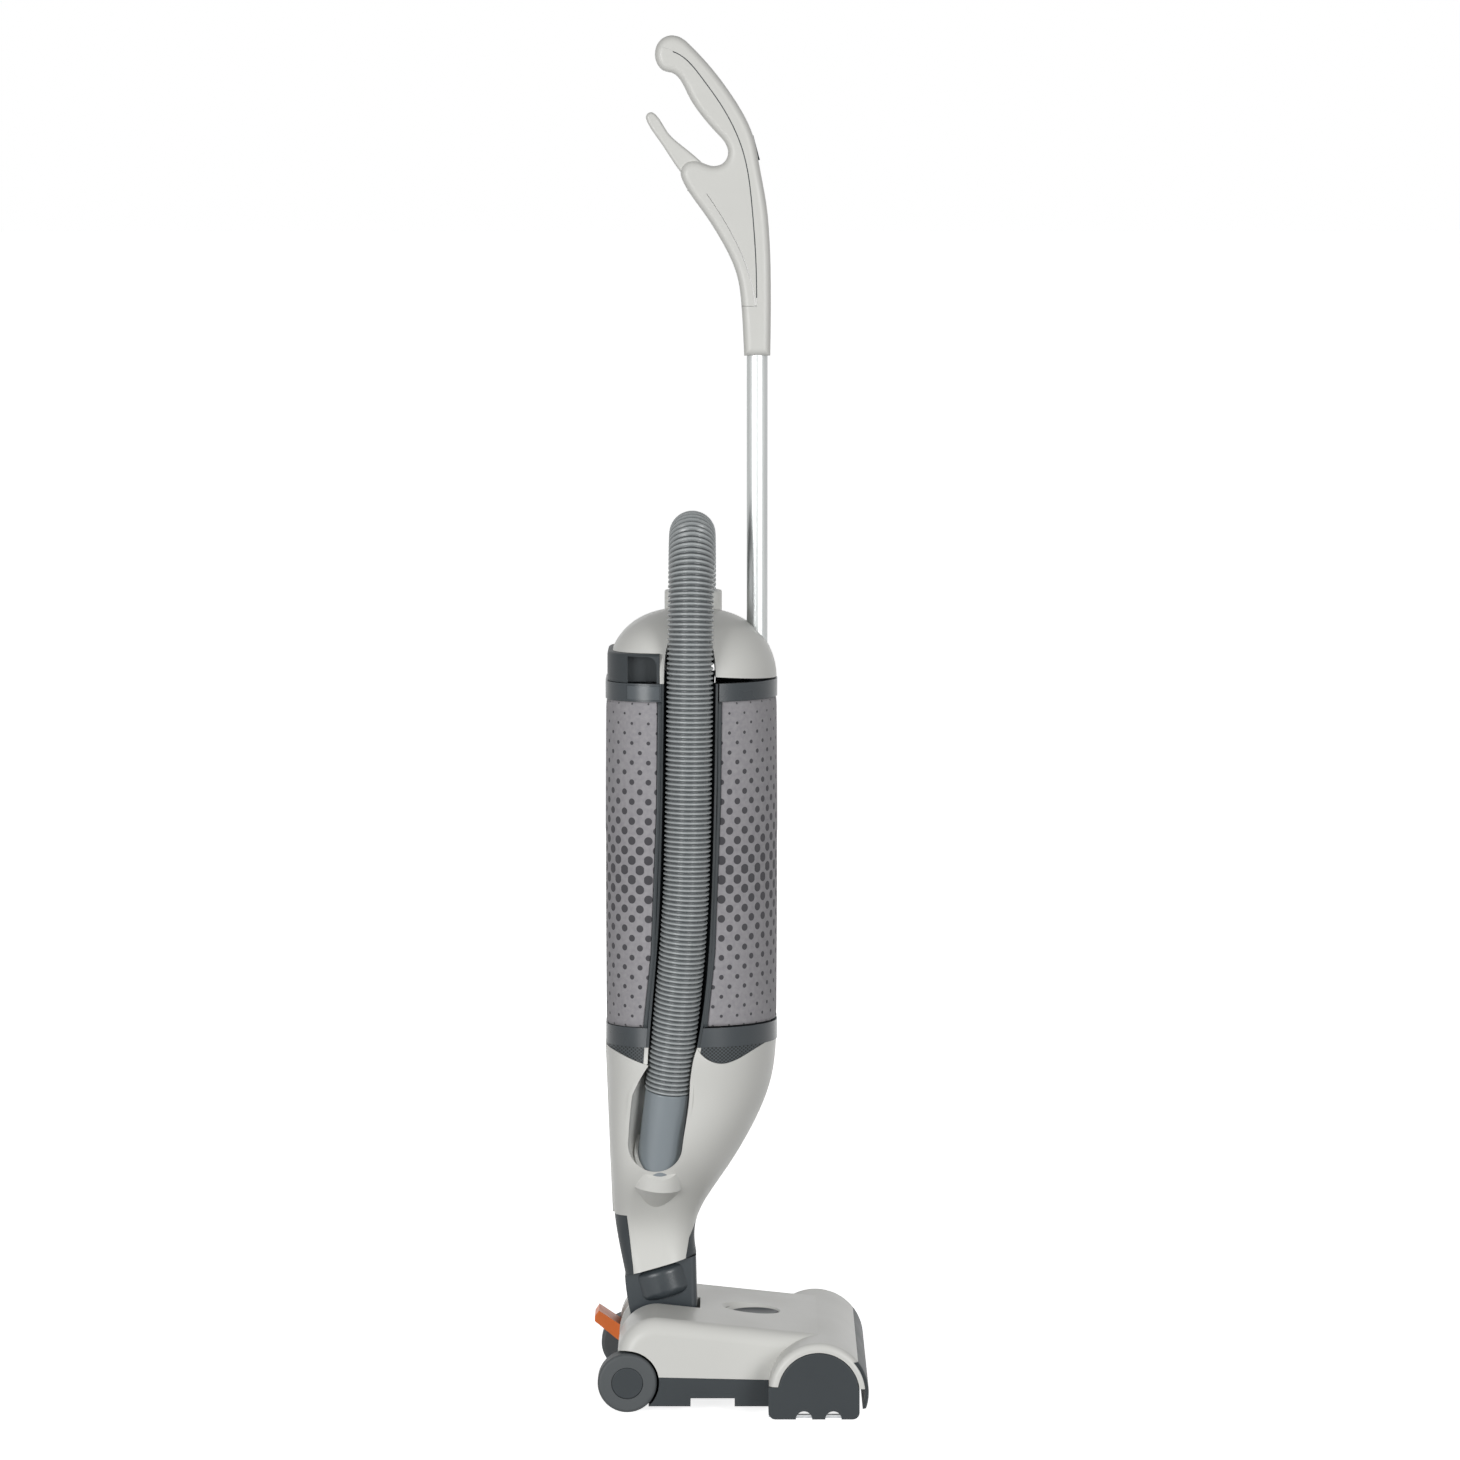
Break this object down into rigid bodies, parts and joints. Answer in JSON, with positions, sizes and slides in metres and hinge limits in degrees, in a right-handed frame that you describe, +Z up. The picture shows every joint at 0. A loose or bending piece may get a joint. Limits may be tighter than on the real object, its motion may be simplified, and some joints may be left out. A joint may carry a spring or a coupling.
{
  "type": "upright vacuum cleaner",
  "caption": "Slim upright vacuum cleaner with a wheeled brush head, tilting and swivelling neck, hinged bag door, ribbed side hose, metal handle tube and hooked grip.",
  "frame": {"origin": "on the floor under the middle of the whole machine's outline", "axes": "+X towards the brush at the front, +Z up, the hose on the -Y side"},
  "size_m": [0.238, 0.294, 1.1806],
  "materials": {
    "casing_light": "satin moulded plastic",
    "casing_dark": "fine-grained moulded plastic",
    "sleeve_fabric": "felted filter cloth with printed dots",
    "shell_grey": "plain moulded plastic",
    "hose_grey": "ribbed, slightly shiny",
    "cuff_grey": "satin",
    "tube_metal": "bright drawn",
    "steel": "machined",
    "motor_steel": "pressed can",
    "motor_light": "cast end shields",
    "rubber_dark": "matt",
    "wheel_dark": "matt",
    "pedal_orange": "satin",
    "window_gloss": "polished",
    "bristle": "nylon tufts",
    "paper": "paper fleece",
    "filter_pad": "fleece"
  },
  "bodies": {
    "head": {"head_base": "casing_dark", "head_cover": "casing_light", "front_bumper": "casing_dark", "brush_end_cap_right": "casing_dark", "brush_end_cap_left": "casing_dark", "sole_plate": "steel", "brush_bushes": "steel", "drive_belt": "rubber_dark", "head_motor": "motor_steel", "suction_duct": "shell_grey", "wheel_axles": "steel", "tray_screws": "steel", "tilt_pins": "steel", "pedal_pin": "steel"},
    "wheel_right": {"rear_wheel_right": "wheel_dark", "hub_cap_right": "casing_dark"},
    "wheel_left": {"rear_wheel_left": "wheel_dark", "hub_cap_left": "casing_dark"},
    "brush": {"brush_core": "shell_grey", "brush_bristles": "bristle"},
    "motor_rotor": {"head_motor_shaft": "steel"},
    "dial": {"height_dial": "casing_dark"},
    "pedal": {"release_pedal": "pedal_orange"},
    "neck": {"neck_elbow": "casing_dark", "swivel_clip": "steel"},
    "column": {"lower_housing": "casing_light", "rear_neck_cover": "casing_dark", "front_neck_cover": "casing_dark", "exhaust_grille": "casing_dark", "bottom_ring": "casing_dark", "rear_sleeve": "sleeve_fabric", "chamber_shell": "shell_grey", "door_pin": "steel", "top_ring": "casing_dark", "bag_window": "window_gloss", "dome_cover": "casing_light", "carry_grip": "casing_dark", "lid_seal": "rubber_dark", "top_deck": "casing_dark", "channel_trim": "casing_dark", "suction_motor": "motor_light", "motor_mounts": "rubber_dark", "fan_case": "shell_grey", "chamber_floor": "shell_grey", "motor_filter": "filter_pad", "dust_bag": "paper", "hose_socket": "casing_light", "hose": "hose_grey", "hose_cuff": "cuff_grey", "handle_tube": "tube_metal", "grip_front": "casing_light", "grip_rear": "casing_light", "cord_cover": "casing_light", "switch_block": "shell_grey", "cord_gland": "rubber_dark"},
    "door": {"front_sleeve": "sleeve_fabric", "door_shell": "shell_grey", "door_band": "casing_dark"},
    "fan": {"fan_impeller": "shell_grey"},
    "rocker": {"rocker_switch": "casing_dark"}
  },
  "joints": [
    {"name": "wheel_spin_right", "type": "hinge", "parent": "head", "child": "wheel_right", "pos_m": [-0.0885, -0.1025, 0.0255], "axis": [0, 1, 0], "continuous": true},
    {"name": "wheel_spin_left", "type": "hinge", "parent": "head", "child": "wheel_left", "pos_m": [-0.0885, 0.1025, 0.0255], "axis": [0, 1, 0], "continuous": true},
    {"name": "brush_spin", "type": "hinge", "parent": "head", "child": "brush", "pos_m": [0.076, 0, 0.0225], "axis": [0, 1, 0], "continuous": true},
    {"name": "motor_spin", "type": "hinge", "parent": "head", "child": "motor_rotor", "pos_m": [0.002, 0.062, 0.044], "axis": [0, 1, 0], "continuous": true},
    {"name": "dial_turn", "type": "hinge", "parent": "head", "child": "dial", "pos_m": [0.021, 0, 0.058], "axis": [0, 0, 1], "range_deg": [-45, 45]},
    {"name": "pedal_press", "type": "hinge", "parent": "head", "child": "pedal", "pos_m": [-0.088, 0.056, 0.037], "axis": [0, -1, 0], "range_deg": [0, 15], "stiffness_Nm_per_rad": 1},
    {"name": "neck_tilt", "type": "hinge", "parent": "head", "child": "neck", "pos_m": [-0.06, 0, 0.048], "axis": [0, -1, 0], "range_deg": [0, 70]},
    {"name": "neck_swivel", "type": "hinge", "parent": "neck", "child": "column", "pos_m": [-0.0445, 0, 0.048], "axis": [-0.2723, 0, 0.9622], "range_deg": [-90, 90]},
    {"name": "door_open", "type": "hinge", "parent": "column", "child": "door", "pos_m": [0.0382, 0, 0.331], "axis": [0, 1, 0], "range_deg": [0, 60]},
    {"name": "fan_spin", "type": "hinge", "parent": "column", "child": "fan", "pos_m": [-0.036, 0.016, 0.295], "axis": [0, 0, 1], "continuous": true},
    {"name": "rocker_tip", "type": "hinge", "parent": "column", "child": "rocker", "pos_m": [0.0191, 0, 1.08322], "axis": [0, 1, 0], "range_deg": [-8, 8]}
  ],
  "couplings": [
    {"joint": "motor_spin", "follows": "brush_spin", "ratio": 2}
  ]
}
